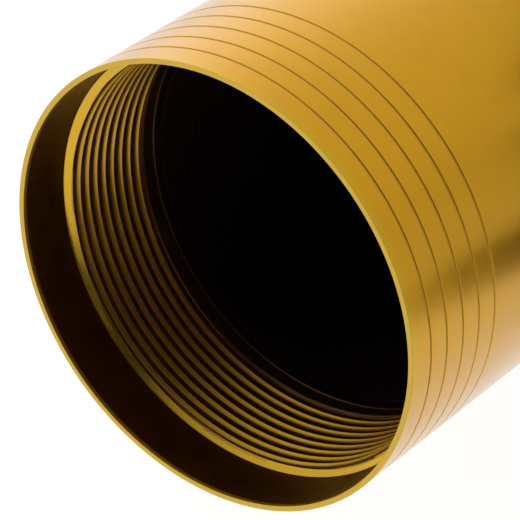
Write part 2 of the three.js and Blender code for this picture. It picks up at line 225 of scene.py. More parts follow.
def temp(bm):
    me = bpy.data.meshes.new("tmp")
    bm.to_mesh(me)
    bm.free()
    o = bpy.data.objects.new("tmp", me)
    scene.collection.objects.link(o)
    return o


def combine(base, others, op="DIFFERENCE"):
    """Boolean of one bmesh with a list of others; returns a new bmesh."""
    a = temp(base)
    tools = []
    for b in others:
        t = temp(b)
        tools.append(t)
        mod = a.modifiers.new("cut", "BOOLEAN")
        mod.operation = op
        mod.solver = "EXACT"
        mod.object = t
    bpy.context.view_layer.update()
    ev = a.evaluated_get(bpy.context.evaluated_depsgraph_get())
    bm = bmesh.new()
    me = bpy.data.meshes.new_from_object(ev)
    bm.from_mesh(me)
    for o in [a] + tools:
        old = o.data
        bpy.data.objects.remove(o)
        bpy.data.meshes.remove(old)
    bpy.data.meshes.remove(me)
    bmesh.ops.remove_doubles(bm, verts=bm.verts, dist=2e-4)
    bmesh.ops.dissolve_degenerate(bm, edges=bm.edges, dist=1e-5)
    return bm


def clip_half(bm, point, normal):
    """Keep the part of a closed body on the side that the normal points to, and cap it."""
    geom = bm.verts[:] + bm.edges[:] + bm.faces[:]
    res = bmesh.ops.bisect_plane(
        bm, geom=geom, plane_co=point, plane_no=normal, clear_inner=True, dist=1e-6
    )
    edges = [e for e in res["geom_cut"] if isinstance(e, bmesh.types.BMEdge)]
    bmesh.ops.contextual_create(bm, geom=edges)
    bmesh.ops.recalc_face_normals(bm, faces=bm.faces)
    return bm


LAID = Matrix.Rotation(math.radians(90), 4, "Y")  # the meshes are drawn upright; the part lies on its right side


def piece(name, bm, node, body, mats, pick=None, sharp=35, weighted=False):
    """Finish a bmesh in millimetres as a named piece of the object."""
    me = bpy.data.meshes.new(name)
    bmesh.ops.scale(bm, vec=(0.001, 0.001, 0.001), verts=bm.verts)
    bm.to_mesh(me)
    bm.free()
    for m in mats:
        me.materials.append(m)
    if pick:
        for p in me.polygons:
            p.material_index = pick(p.center * 1000, p.normal)
    me.transform(LAID)
    me.shade_smooth()
    me.set_sharp_from_angle(angle=math.radians(sharp))
    o = bpy.data.objects.new(name, me)
    scene.collection.objects.link(o)
    if weighted:
        w = o.modifiers.new("weighted", "WEIGHTED_NORMAL")
        w.keep_sharp = True
        w.weight = 80
    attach(o, body)
    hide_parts(node)
    return o


def outward(direction, origin):
    """Local +Y along a direction, local origin at a point."""
    d = Vector(direction).normalized()
    helper = Vector((0, 0, 1)) if abs(d.z) < 0.9 else Vector((1, 0, 0))
    x = d.cross(helper).normalized()
    z = x.cross(d)
    return Matrix.Translation(origin) @ Matrix((x, d, z)).transposed().to_4x4()


EP_Y = 39.0
NOSE = Matrix.Translation((0, -46, 0))  # local Y is the distance from the lip
EYE = Matrix.Translation((0, EP_Y, 0)) @ Matrix.Rotation(math.radians(90), 4, "X")  # local Y is world Z
CELL = Matrix.Translation((0, EP_Y, 0)) @ Matrix.Rotation(math.radians(45), 4, "X")  # local Z is the mirror's normal

# ------------------------------------------------------------------ materials


class Mat:
    """Small helper for procedural materials."""

    def __init__(self, name, color, rough, metal=0.0, **sockets):
        self.m = bpy.data.materials.new(name)
        self.m.use_nodes = True
        self.t = self.m.node_tree
        self.p = self.t.nodes["Principled BSDF"]
        self.color, self.rough = color, rough
        self.p.inputs["Base Color"].default_value = (*color, 1)
        self.p.inputs["Roughness"].default_value = rough
        self.p.inputs["Metallic"].default_value = metal
        for k, v in sockets.items():
            self.p.inputs[k.replace("_", " ")].default_value = v
        self.m.diffuse_color = (*color, 1)
        self.coord = self.t.nodes.new("ShaderNodeTexCoord")
        self.height = None

    def node(self, kind, **props):
        n = self.t.nodes.new(kind)
        for k, v in props.items():
            setattr(n, k, v)
        return n

    def link(self, a, b):
        self.t.links.new(a, b)

    def stretch(self, scale):
        n = self.node("ShaderNodeMapping")
        n.inputs["Scale"].default_value = scale
        self.link(self.coord.outputs["Object"], n.inputs["Vector"])
        return n.outputs["Vector"]

    def noise(self, scale, detail=3, rough=0.5, stretch=None, distortion=0.0):
        n = self.node("ShaderNodeTexNoise")
        n.inputs["Scale"].default_value = scale
        n.inputs["Detail"].default_value = detail
        n.inputs["Roughness"].default_value = rough
        n.inputs["Distortion"].default_value = distortion
        self.link(self.stretch(stretch) if stretch else self.coord.outputs["Object"], n.inputs["Vector"])
        return n.outputs["Fac"]

    def span(self, fac, lo, hi, f0=0.3, f1=0.7):
        n = self.node("ShaderNodeMapRange")
        n.inputs["From Min"].default_value = f0
        n.inputs["From Max"].default_value = f1
        n.inputs["To Min"].default_value = lo
        n.inputs["To Max"].default_value = hi
        self.link(fac, n.inputs["Value"])
        return n.outputs["Result"]

    def tone(self, fac, a, b, f0=0.3, f1=0.7):
        n = self.node("ShaderNodeValToRGB")
        e = n.color_ramp.elements
        e[0].position, e[1].position = f0, f1
        e[0].color, e[1].color = (*a, 1), (*b, 1)
        self.link(fac, n.inputs["Fac"])
        return n.outputs["Color"]

    def mix(self, fac, a, b):
        n = self.node("ShaderNodeMix", data_type="RGBA")
        self.link(fac, n.inputs[0])
        for s, v in ((n.inputs[6], a), (n.inputs[7], b)):
            if isinstance(v, tuple):
                s.default_value = (*v, 1)
            else:
                self.link(v, s)
        return n.outputs[2]

    def base(self, socket):
        self.link(socket, self.p.inputs["Base Color"])

    def roughness(self, socket):
        self.link(socket, self.p.inputs["Roughness"])

    def bump(self, fac, strength, distance):
        n = self.node("ShaderNodeBump")
        n.inputs["Strength"].default_value = strength
        n.inputs["Distance"].default_value = distance
        self.link(fac, n.inputs["Height"])
        if self.height:
            self.link(self.height, n.inputs["Normal"])
        self.height = n.outputs["Normal"]
        self.link(self.height, self.p.inputs["Normal"])
        if self.p.inputs["Coat Weight"].default_value > 0:
            self.link(self.height, self.p.inputs["Coat Normal"])


def shade(c, k):
    return tuple(x * k for x in c)


def gold(name, color, rough, coat_rough, grain, edge=None, film=1.22):
    g = Mat(name, color, rough, 1.0, Coat_Weight=1.0, Coat_IOR=film, Coat_Roughness=coat_rough)
    cloud = g.noise(420, 4, 0.55)
    fine = g.noise(2600, 2, 0.5)
    tint = g.mix(g.span(fine, 0.0, 0.35), g.tone(cloud, shade(color, 0.955), shade(color, 1.035)), shade(color, 1.02))
    if edge:
        # towards the end face the base colour blends into the given edge colour over the last 1.4 mm
        xyz = g.node("ShaderNodeSeparateXYZ")
        g.link(g.coord.outputs["Object"], xyz.inputs[0])
        tint = g.mix(g.span(xyz.outputs["Y"], 1.0, 0.0, -0.0460, -0.0446), tint, edge)
    g.base(tint)
    g.roughness(g.span(cloud, rough * 0.93, rough * 1.09))
    g.bump(g.noise(1500, 3, 0.6, stretch=(0.25, 3.0, 0.25)), grain, 0.00004)
    return g.m


gold_outer = gold("gold_anodised_satin", (0.62, 0.308, 0.002), 0.30, 0.22, 0.10, (0.60, 0.35, 0.008), 1.19)
gold_inner = gold("gold_anodised_turned", (0.645, 0.375, 0.021), 0.22, 0.17, 0.08)
gold_lip = gold("gold_anodised_faced", (0.60, 0.385, 0.040), 0.28, 0.22, 0.10)
gold_groove = gold("gold_anodised_groove", (0.66, 0.36, 0.020), 0.50, 0.42, 0.10)
# thread gold: toned darker than the turned bore gold, painted shade on the threads
gold_thread_painted_shade = gold("gold_anodised_thread_painted_shade", (0.60, 0.325, 0.024), 0.34, 0.25, 0.08)
# recess gold: a dark brown copy of the gold, painted shade on the recess wall behind the lip
gold_recess_painted_shade = gold("gold_anodised_recess_painted_shade", (0.22, 0.080, 0.003), 0.46, 0.34, 0.10, None, 1.10)
gold_lead = gold("gold_anodised_lead_in", (0.62, 0.35, 0.020), 0.50, 0.42, 0.10)
# step gold: a near-black copy of the gold, painted shade on the step at the thread's end and on the edge before the
# black bore
gold_step_painted_shade = gold("gold_anodised_step_painted_shade", (0.13, 0.055, 0.012), 0.36, 0.30, 0.10)


def black_anodised(name, rough=0.42, grain=0.35):
    b = Mat(name, (0.016, 0.0165, 0.018), rough, 0.0, Specular_IOR_Level=0.62, Coat_Weight=0.0)
    cloud = b.noise(260, 4, 0.55)
    b.base(b.tone(cloud, (0.0125, 0.013, 0.0145), (0.021, 0.0215, 0.0235)))
    b.roughness(b.span(cloud, rough * 0.9, rough * 1.15))
    b.bump(b.noise(5200, 2, 0.55), grain, 0.00003)
    return b.m


black_blasted = black_anodised("black_anodised_blasted", 0.46, 0.5)
black_turned = black_anodised("black_anodised_turned", 0.34, 0.12)

flock = Mat("flat_black_flocked", (0.014, 0.0062, 0.0042), 0.97, 0.0, Specular_IOR_Level=0.05)
flock.base(flock.tone(flock.noise(3000, 2), (0.011, 0.0048, 0.0032), (0.018, 0.0080, 0.0056)))
flock.bump(flock.noise(6000, 2), 0.8, 0.00008)

steel = Mat("thumbscrew_steel", (0.60, 0.60, 0.61), 0.24, 1.0)
steel.base(steel.tone(steel.noise(900, 3), (0.54, 0.54, 0.55), (0.66, 0.66, 0.67)))
steel.roughness(steel.span(steel.noise(1400, 3), 0.18, 0.32))

dark_steel = Mat("blackened_steel", (0.035, 0.034, 0.034), 0.38, 0.85)
dark_steel.base(dark_steel.tone(dark_steel.noise(1800, 3), (0.024, 0.023, 0.023), (0.055, 0.052, 0.05)))
dark_steel.roughness(dark_steel.span(dark_steel.noise(1500, 3), 0.3, 0.5))

brass = Mat("brass_turned", (0.66, 0.44, 0.16), 0.26, 1.0)
brass.base(brass.tone(brass.noise(500, 4), (0.58, 0.37, 0.125), (0.70, 0.48, 0.19)))
brass.roughness(brass.span(brass.noise(900, 3), 0.2, 0.36))
brass.bump(brass.noise(1600, 2, 0.5, stretch=(0.3, 0.3, 3)), 0.12, 0.00003)

nylon = Mat("nylon", (0.78, 0.76, 0.70), 0.5, 0.0, Subsurface_Weight=0.15, Subsurface_Scale=0.001)
nylon.base(nylon.tone(nylon.noise(800, 3), (0.74, 0.72, 0.66), (0.82, 0.80, 0.75)))

rubber = Mat("moulded_rubber", (0.012, 0.012, 0.012), 0.8, 0.0, Specular_IOR_Level=0.35)
rubber.base(rubber.tone(rubber.noise(1200, 3), (0.009, 0.009, 0.009), (0.018, 0.018, 0.018)))
rubber.bump(rubber.noise(4000, 2), 0.5, 0.00005)

coating = Mat("mirror_coating", (0.93, 0.955, 0.96), 0.012, 1.0)
coating.base(coating.tone(coating.noise(60, 2), (0.925, 0.95, 0.955), (0.945, 0.965, 0.97)))
ground_glass = Mat("ground_glass_edge", (0.46, 0.56, 0.53), 0.42, 0.0, Transmission_Weight=0.25, IOR=1.47)
ground_glass.base(ground_glass.tone(ground_glass.noise(900, 3), (0.40, 0.50, 0.47), (0.52, 0.62, 0.59)))
ground_glass.bump(ground_glass.noise(5000, 2), 0.4, 0.00004)

# ------------------------------------------------------------------ nosepiece

N = 288
PITCH = 1.40
CREST_A0 = 7.89  # a crest's station at the azimuth where the helix starts
AZ0 = math.radians(290.4)
CREST, DEPTH, HALF = 23.60, 0.36, 0.62

# round-bottomed thread: narrow crests with a shallow arc between them
form = [(-0.08, CREST), (0.08, CREST)]
for x in (0.14, 0.20, 0.28, 0.38, 0.52, 0.70, 0.88, 1.00, 1.08, 1.15, 1.21, 1.27):
    form.append((x, CREST + DEPTH * (1 - abs((x - 0.70) / HALF) ** 2.3)))
SHOULDER = ((6.45, 24.70), (7.05, 23.62))


def lead_in(s, r, turn):
    (a, ra), (b, rb) = SHOULDER
    return max(r, ra + (rb - ra) * (s - a) / (b - a))


rows, m = helix(N, 6.48, 18.70, PITCH, form, CREST_A0 - 2 * PITCH, lead_in)
nose_ring = [
    # relief behind the thread, sharp edge, bore
    (23.66, 18.72), (23.72, 18.75, 0.02), (23.72, 20.34, 0.03), (23.66, 20.40, 0.02), (23.60, 20.46, 0.03),
    (23.60, 57.0),
    # spigot in the housing
    (24.55, 57.0, 0.1), (24.80, 56.75, 0.1), (24.80, 55.5), (24.30, 55.5), (24.30, 52.1), (24.80, 52.1), (24.80, 51.3, 0.1),
    (25.2, 51.0), (28.2, 51.0, 0.15), (28.6, 50.6, 0.2), (28.6, 46.55, 0.25), (28.1, 46.0, 0.2), (25.55, 46.0, 0.12), (25.4, 45.6, 0.12),
    (25.4, 45.2), (25.4, 22.0),
]
for s in (14.28, 11.47, 8.66, 5.83, 3.07):
    nose_ring += [
        (25.4, s + 0.24), (25.4, s + 0.17), (25.385, s + 0.13), (25.31, s + 0.05), (25.30, s), (25.31, s - 0.05), (25.385, s - 0.14), (25.4, s - 0.18), (25.4, s - 0.25),
    ]
nose_ring += [
    (25.4, 0.30), (25.4, 0.12), (25.4, 0.012), (25.388, 0.0), (25.30, 0.0), (24.81, 0.0, 0.02), (24.765, 0.16), (24.73, 0.40), (24.71, 0.66), (24.70, 0.95), (24.70, 6.42, 0.02),
]
outline = rounded(nose_ring, 3)
bm = spun([("helix", rows, m), ("rings", outline)], N)
# turn the start of the helix to its azimuth; the hand is right-handed seen from the front
moved(bm, NOSE @ Matrix.Scale(1, 4) @ Matrix.Rotation(0, 4, "Y"))
for v in bm.verts:
    w = math.atan2(v.co.z, v.co.x)
    r = math.hypot(v.co.x, v.co.z)
    a = AZ0 - w
    v.co.x, v.co.z = r * math.cos(a), r * math.sin(a)
bmesh.ops.recalc_face_normals(bm, faces=bm.faces)
if bm.calc_volume(signed=True) < 0:
    bmesh.ops.reverse_faces(bm, faces=bm.faces)


def nose_pick(c, n):
    r = math.hypot(c.x, c.z)
    if r < 23.7 and c.y > -25.5 and n.x * c.x + n.z * c.z < 0:
        return 2
    # index 5 is the near-black step gold: painted shade on the step at the thread's end and on the edge before the
    # black bore
    if r < 24.1 and -27.5 < c.y < -27.2 and n.y < -0.5:
        return 5
    if r < 23.76 and c.y > -25.8 and n.x * c.x + n.z * c.z < 0.2 * r:
        return 5
    if c.y < -45.9 and n.y < -0.4:
        return 3
    if 25.05 < r < 25.394 and -43.5 < c.y < -31.0:
        return 4
    if r < 24.9 and c.y < -25 and n.x * c.x + n.z * c.z < 0.2 * r:
        # index 7 is the dark recess gold: painted shade on the recess wall behind the lip
        if r > 24.60 and c.y < -39.6:
            return 8 if c.y < -45.5 else 7
        # index 6 is the thread gold, toned darker as painted shade
        return 6 if (c.y > -38.9 or (c.y > -39.6 and r > 23.62 and abs(n.y) < 0.82)) else 1
    return 0


nose = piece("nosepiece_turned", bm, "nosepiece", "body", [gold_outer, gold_inner, flock.m, gold_lip, gold_groove, gold_step_painted_shade, gold_thread_painted_shade, gold_recess_painted_shade, gold_lead], nose_pick, sharp=28)

# black liner with fine anti-reflection ribs
ribs = [(23.2, 20.9, 0.05), (23.2, 56.8, 0.05), (22.7, 56.8, 0.05)]
s = 56.0
while s > 22.6:
    ribs += [(22.72, s), (22.98, s - 0.45), (22.98, s - 0.6), (22.72, s - 0.62)]
    s -= 1.1
ribs += [(22.78, 20.9, 0.05)]
piece("light_baffle_ribbed", moved(turned(ribs, 144), NOSE), "light_baffle", "body", [flock.m], sharp=30)

# ------------------------------------------------------------------ small screws


def hexagon(across, y0, y1):
    r = across / math.sqrt(3)
    return moved(
        prism([(r * math.cos(k * math.pi / 3), r * math.sin(k * math.pi / 3)) for k in range(6)], y0, y1),
        Matrix.Rotation(math.radians(-90), 4, "X"),
    )


def screw_thread(n, start, end, pitch, crest, root, taper):
    """Rows of an outside thread from start to end along +Y, tapered away at both ends."""
    q = pitch / 8

    def clip(s, r, turn):
        lim = min(root + (s - start) / taper * (crest - root), root + (end - s) / taper * (crest - root))
        return min(r, max(lim, root))

    prof = [(-0.5 * q, crest), (0.5 * q, crest), (3.2 * q, root), (4.8 * q, root)]
    return helix(n, start, end, pitch, prof, start, clip)


def grub(length):
    n = 40
    rows, m = screw_thread(n, -length + 0.25, -0.18, 0.5, 1.44, 1.17, 0.3)
    bm = spun(
        [("helix", rows, m), ("rings", [(1.17, -0.16), (1.08, 0.0), (0.0, 0.0), (0.0, -length + 0.35), (0.62, -length), (0.8, -length), (1.17, -length + 0.22)])],
        n,
    )
    return combine(bm, [hexagon(1.5, -1.4, 0.5)])


def countersunk(length):
    n = 48
    rows, m = screw_thread(n, -length + 0.3, -2.1, 0.5, 1.42, 1.16, 0.3)
    head = rounded([(1.16, -2.05), (1.36, -1.85), (1.36, -1.72), (2.75, -0.28, 0.05), (2.75, -0.02, 0.06), (0.0, 0.0), (0.0, -length), (0.9, -length), (1.16, -length + 0.26)], 3)
    bm = spun([("helix", rows, m), ("rings", head)], n)
    return combine(bm, [hexagon(2.0, -1.2, 0.5)])


for side, d, rr in (("left", (-1, 0, 0), 31.2), ("right", (1, 0, 0), 31.2), ("bottom", (0, 0, -1), 31.8)):
    o = Vector(d) * rr + Vector((0, 7.8, 0))
    piece("grub_nose_" + side, moved(grub(rr - 24.6), outward(d, o)), "nosepiece_grub_screw_" + side, "body", [dark_steel.m], sharp=30)
for side, d, rr in (("left", (-1, 0, 0), 31.2), ("right", (1, 0, 0), 31.2), ("rear", (0, 1, 0), 33.2)):
    o = Vector(d) * rr + Vector((0, EP_Y, 31.2))
    piece("grub_holder_" + side, moved(grub(rr - 24.6), outward(d, o)), "holder_grub_screw_" + side, "body", [dark_steel.m], sharp=30)

# ------------------------------------------------------------------ housing

profile = [(5.3, -31.5), (7.8, -34), (20, -34), (73, 19), (73, 31.5), (70.5, 34), (7.8, 34), (5.3, 31.5)]
# local x = world Y, local y = world Z, local z = world X
SIDE = Matrix(((0, 0, 1, 0), (1, 0, 0, 0), (0, 1, 0, 0), (0, 0, 0, 1)))
bm = prism(profile, -32, 32)
rim = [e for e in bm.edges if abs(abs(e.verts[0].co.z) - 32) < 1e-4 and abs(abs(e.verts[1].co.z) - 32) < 1e-4]
bmesh.ops.bevel(bm, geom=rim, offset=1.2, segments=1, profile=0.5, affect="EDGES", clamp_overlap=True)
bmesh.ops.bevel(
    bm, geom=[e for e in bm.edges if e.calc_face_angle(0) > 0.2], offset=0.32, segments=3, profile=0.5, affect="EDGES", clamp_overlap=True
)
body_bm = moved(bm, SIDE)


def bore(outline, n, matrix):
    return moved(turned(outline, n), matrix)


Y_AXIS = Matrix.Identity(4)
normal = Vector((0, -1, 1)).normalized()
floor_point = Vector((0, EP_Y, 0)) + normal * 0.99
cutters = []
inlet = bore([(0, 2), (22.7, 2), (22.7, 75), (0, 75)], 144, Y_AXIS)
cutters.append(clip_half(inlet, floor_point, normal))
outlet = bore([(0, -34), (22.7, -34), (22.7, 36), (0, 36)], 144, EYE)
cutters.append(clip_half(outlet, floor_point, normal))
cutters.append(bore([(0, 0), (25.5, 0), (25.5, 5.3), (25.1, 5.7), (25.1, 11.3), (0, 11.3)], 144, Y_AXIS))
cutters.append(bore([(0, 27.7), (25.1, 27.7), (25.1, 33.6), (25.5, 34.0), (25.5, 40), (0, 40)], 144, EYE))
cutters.append(moved(prism(octagon(26, 34.2, 11), -20, 1.0), CELL))
for sx in (-1, 1):
    for ss in (-1, 1):
        o = CELL @ Vector((sx * 26.2, ss * 32.6, -10.6066))
        cutters.append(bore([(0, -6.7), (1.65, -5.7), (1.65, -0.3), (1.95, 0.0), (1.95, 2), (0, 2)], 32, outward(-normal, o)))
for d, face, at in (
    ((-1, 0, 0), 32, Vector((0, 7.8, 0))), ((1, 0, 0), 32, Vector((0, 7.8, 0))), ((0, 0, -1), 34, Vector((0, 7.8, 0))),
    ((-1, 0, 0), 32, Vector((0, EP_Y, 31.2))), ((1, 0, 0), 32, Vector((0, EP_Y, 31.2))), ((0, 1, 0), 34, Vector((0, EP_Y, 31.2))),
):
    cutters.append(bore([(0, 20), (1.62, 20), (1.62, face - 0.35), (2.0, face + 0.03), (2.0, face + 4), (0, face + 4)], 40, outward(d, at)))
body_bm = combine(body_bm, cutters)


def housing_pick(c, n):
    r1 = math.hypot(c.x, c.z)
    r2 = math.hypot(c.x, c.y - EP_Y)
    inside = (r1 < 25 and c.y < 70 and n.x * c.x + n.z * c.z < -0.3 * r1) or (r2 < 25 and n.x * c.x + n.y * (c.y - EP_Y) < -0.3 * r2)
    return 1 if inside else 0


piece("housing_machined", body_bm, "housing", "body", [black_blasted, black_turned], housing_pick, sharp=32, weighted=True)

# ------------------------------------------------------------------ mirror cell

bm = prism(octagon(25, 33.3, 11.2), -7, 0, 0.4, 1)
moved(bm, CELL)
piece(
    "mirror_flat", bm, "mirror", "body", [ground_glass.m, coating.m],
    lambda c, n: 1 if n.dot(normal) > 0.99 else 0, sharp=25,
)
for name, x, y, a in (
    ("mirror_pad_upper_left", -20.3, 25.3, 45), ("mirror_pad_upper_right", 20.3, 25.3, -45),
    ("mirror_pad_lower_left", -20.3, -25.3, -45), ("mirror_pad_lower_right", 20.3, -25.3, 45),
):
    bm = prism([(-3, -0.85), (3, -0.85), (3, 0.85), (-3, 0.85)], 0.3, 0.7, 0.12, 3)
    moved(bm, CELL @ Matrix.Translation((x, y, 0)) @ Matrix.Rotation(math.radians(a), 4, "Z"))
    piece(name + "_moulded", bm, name, "body", [nylon.m], sharp=40)
piece("mirror_gasket_moulded", moved(prism(octagon(22.5, 30.5, 9), -8.8, -7.3, 0.35, 3), CELL), "mirror_gasket", "body", [rubber.m], sharp=40)

PLATE_TOP, PLATE_END = -10.9066, -14.4066
bm = prism(octagon(30.4, 35.6, 3), PLATE_END, PLATE_TOP, 0.6, 1)
bmesh.ops.bevel(bm, geom=[e for e in bm.edges if e.calc_face_angle(0) > 0.2], offset=0.14, segments=2, profile=0.5, affect="EDGES", clamp_overlap=True)
boss = prism(octagon(22.5, 30.5, 9), -11.6, -9.1, 0.25, 2)
bm = combine(bm, [boss], "UNION")
cuts = []
for sx in (-1, 1):
    for ss in (-1, 1):
        # local +Y of the cutter points out of the plate
        T = Matrix.Translation((sx * 26.2, ss * 32.6, PLATE_END)) @ Matrix.Rotation(math.radians(-90), 4, "X")
        cuts.append(moved(turned([(0, -6), (1.6, -6), (1.6, -1.68), (3.1, -0.02), (3.25, 0.3), (0, 0.3)], 48), T))
bm = combine(bm, cuts)
piece("back_plate_machined", moved(bm, CELL), "back_plate", "body", [black_blasted], sharp=32, weighted=True)
for name, sx, ss in (("upper_left", -1, 1), ("upper_right", 1, 1), ("lower_left", -1, -1), ("lower_right", 1, -1)):
    T = CELL @ Matrix.Translation((sx * 26.2, ss * 32.6, PLATE_END + 0.05)) @ Matrix.Rotation(math.radians(-90), 4, "X")
    piece("plate_screw_" + name, moved(countersunk(8.6), T), "back_plate_screw_" + name, "body", [dark_steel.m], sharp=30)

# ------------------------------------------------------------------ eyepiece holder


def az_dir(az):
    return Vector((math.sin(math.radians(az)), math.cos(math.radians(az)), 0))


hold = [
    (24.80, 34.3), (31.2, 34.3, 0.15), (31.7, 34.8, 0.2), (31.7, 39.0, 0.3), (30.2, 40.5, 0.5),
    (30.2, 49.9, 0.5), (31.7, 51.4, 0.3), (31.7, 52.9, 0.05), (31.45, 53.15), (31.45, 53.45), (31.7, 53.7, 0.05),
    (31.7, 64.6, 0.05), (31.45, 64.85), (31.45, 65.15), (31.7, 65.4, 0.05),
    (31.7, 69.2, 0.2), (30.9, 70.0, 0.2), (26.0, 70.0, 0.1), (25.5, 69.5, 0.1),
    (25.5, 62.1, 0.06), (27.75, 62.1), (27.75, 55.9), (25.5, 55.9, 0.06), (25.5, 38.0), (22.7, 38.0, 0.15),
    (22.7, 28.0, 0.1), (24.5, 28.0, 0.1), (24.8, 28.3, 0.1), (24.8, 29.5), (24.3, 29.5), (24.3, 32.9), (24.8, 32.9),
]
bm = moved(turned(hold, 240), EYE)
cuts = []
for az in (-36, 36):
    d = az_dir(az)
    cuts.append(bore([(0, 24.5), (2.1, 24.5), (2.1, 31.2), (2.45, 31.75), (2.45, 35), (0, 35)], 48, outward(d, Vector((0, EP_Y, 59)))))
bm = combine(bm, cuts)
piece("eyepiece_holder_turned", bm, "eyepiece_holder", "body", [black_turned], sharp=32)


def split_ring(r0, r1, z0, z1, slit, n=160, f=0.25):
    """A hoop about the eyepiece axis with a slit towards -Y."""
    prof = rounded([(r0, z0, f), (r1, z0, f), (r1, z1, f), (r0, z1, f)], 3)
    half = math.asin(slit / 2 / ((r0 + r1) / 2))
    bm = bmesh.new()
    lines = []
    for j in range(n + 1):
        w = -math.pi / 2 + half + (2 * math.pi - 2 * half) * j / n
        lines.append([bm.verts.new((r * math.cos(w), EP_Y + r * math.sin(w), z)) for r, z in prof])
    k = len(prof)
    for j in range(n):
        for i in range(k):
            bm.faces.new((lines[j][i], lines[j + 1][i], lines[j + 1][(i + 1) % k], lines[j][(i + 1) % k]))
    bm.faces.new(lines[0])
    bm.faces.new(lines[-1][::-1])
    return clean(bm)


piece("compression_ring_2in_split", split_ring(25.62, 27.2, 56.2, 61.8, 1.6), "compression_ring_2in", "body", [brass.m], sharp=40)
piece("compression_ring_125_split", split_ring(16.1, 17.6, 74.7, 79.3, 1.6, 120), "compression_ring_1_25in", "adapter", [brass.m], sharp=40)


def clamp_tip():
    return turned([(0, 0), (1.45, 0, 0.3), (1.45, 0.9, 0.12), (0, 0.9)], 40, 4)


def thumbscrew(shank):
    """Knurled head with a dished end, collar and an M4 shank. y = 0 is the collar's underside."""
    n = 72
    rows, m = screw_thread(n, -shank + 0.25, -0.35, 0.7, 1.93, 1.55, 0.35)
    low, high = 4.76, 5.0
    step = 0.52
    y0, y1 = 2.55, 2.55 + 13 * step
    head = rounded([
        (1.55, -0.33), (1.55, -0.02), (3.3, 0.0, 0.12), (3.3, 1.35, 0.25), (4.35, 1.85, 0.25), (low, 2.3, 0.1), (low, y0 - 0.02),
    ], 3)
    # the two ends of the first list are open corners, so no fillets there
    top = rounded([
        (low, y1 + 0.02), (low, 9.45, 0.1), (4.45, 9.9, 0.15), (3.15, 9.9, 0.15), (2.75, 9.5, 0.2), (0.0, 9.5), (0.0, -shank), (1.2, -shank), (1.55, -shank + 0.22),
    ], 3)
    k_rows = []
    count = 14
    blocks = [("helix", rows, m), ("rings", head)]
    bm = spun_knurl(blocks, top, n, low, high, y0, step, count)
    return bm


def spun_knurl(blocks, top, n, low, high, y0, step, count):
    """Body of revolution whose band from y0 carries a crossed knurl of small pyramids."""
    rows, shift = [], []
    for b in blocks:
        if b[0] == "helix":
            a = len(rows)
            rows += b[1]
            shift.append((a, len(rows) - 1, b[2]))
        else:
            for r, s in b[1]:
                rows.append([(r, s)] * n)
    k0 = len(rows)
    for i in range(count):
        rows.append([(high if (i + j) % 2 == 0 and 0 < i < count - 1 else low, y0 + step * i) for j in range(n)])
    k1 = len(rows) - 1
    for r, s in top:
        rows.append([(r, s)] * n)
    bm = bmesh.new()
    grid = []
    for row in rows:
        grid.append([
            bm.verts.new((r * math.cos(2 * math.pi * j / n), s, r * math.sin(2 * math.pi * j / n))) for j, (r, s) in enumerate(row)
        ])
    total = len(rows)
    for i in range(total):
        i2 = (i + 1) % total
        for j in range(n):
            j2 = (j + 1) % n
            m = 0
            if j2 == 0:
                for a, b, mm in shift:
                    if a <= i < b:
                        m = mm if i2 + mm <= b else None
                if m is None:
                    continue
            v = [grid[i][j], grid[(i + m) % total][j2], grid[(i2 + m) % total][j2], grid[i2][j]]
            if len(set(v)) < 4:
                continue
            if k0 <= i < k1:
                # split along the valley
                if (i - k0 + j) % 2 == 0:
                    bm.faces.new((v[0], v[1], v[3]))
                    bm.faces.new((v[1], v[2], v[3]))
                else:
                    bm.faces.new((v[0], v[1], v[2]))
                    bm.faces.new((v[0], v[2], v[3]))
            else:
                bm.faces.new(v)
    return clean(bm)


for side, az in (("left", -36), ("right", 36)):
    d = az_dir(az)
    piece(
        "clamp_tip_" + side + "_moulded", moved(clamp_tip(), outward(d, Vector((0, EP_Y, 59)) + d * 27.5)),
        "clamp_tip_" + side, "clamp_tip_" + side, [nylon.m], sharp=40,
    )
    piece(
        "thumbscrew_" + side + "_knurled", moved(thumbscrew(3.55), outward(d, Vector((0, EP_Y, 59)) + d * 32.2)),
        "thumbscrew_" + side, "thumbscrew_" + side, [steel.m], sharp=28,
    )

# ------------------------------------------------------------------ adapter

n = 360
flange_lo = rounded([
    (23.6, 40.0, 0.1), (24.8, 40.0, 0.1), (25.3, 40.5, 0.15), (25.3, 70.3), (28.2, 70.3, 0.15), (28.5, 70.65, 0.15), (28.5, 71.7, 0.1), (28.3, 71.9),
], 3)
flange_hi = rounded([
    (28.3, 80.5), (28.5, 80.7, 0.1), (28.55, 81.3, 0.2), (26.6, 83.3, 0.3), (16.65, 83.3, 0.15), (15.95, 82.6, 0.15),
    (15.95, 79.6, 0.06), (18.2, 79.6), (18.2, 74.4), (15.95, 74.4, 0.06), (15.95, 49.0), (14.5, 49.0, 0.1), (14.5, 47.0, 0.1),
    (21.0, 47.0, 0.2), (21.0, 44.0, 0.1), (23.6, 44.0),
], 3)


def fluted():
    """Adapter body with a straight knurl on the grip band."""
    grid_rows = []
    for r, s in flange_lo:
        grid_rows.append([(r, s)] * n)
    for s, amp in ((71.9, 0.0), (72.15, 0.0), (72.4, 1.0), (80.0, 1.0), (80.25, 0.0), (80.5, 0.0)):
        grid_rows.append([(28.3 + (0.30 * amp if j % 2 == 0 else -0.02 * amp), s) for j in range(n)])
    for r, s in flange_hi:
        grid_rows.append([(r, s)] * n)
    bm = bmesh.new()
    grid = [[bm.verts.new((r * math.cos(2 * math.pi * j / n), s, r * math.sin(2 * math.pi * j / n))) for j, (r, s) in enumerate(row)] for row in grid_rows]
    total = len(grid)
    for i in range(total):
        i2 = (i + 1) % total
        for j in range(n):
            j2 = (j + 1) % n
            bm.faces.new((grid[i][j], grid[i][j2], grid[i2][j2], grid[i2][j]))
    return clean(bm)


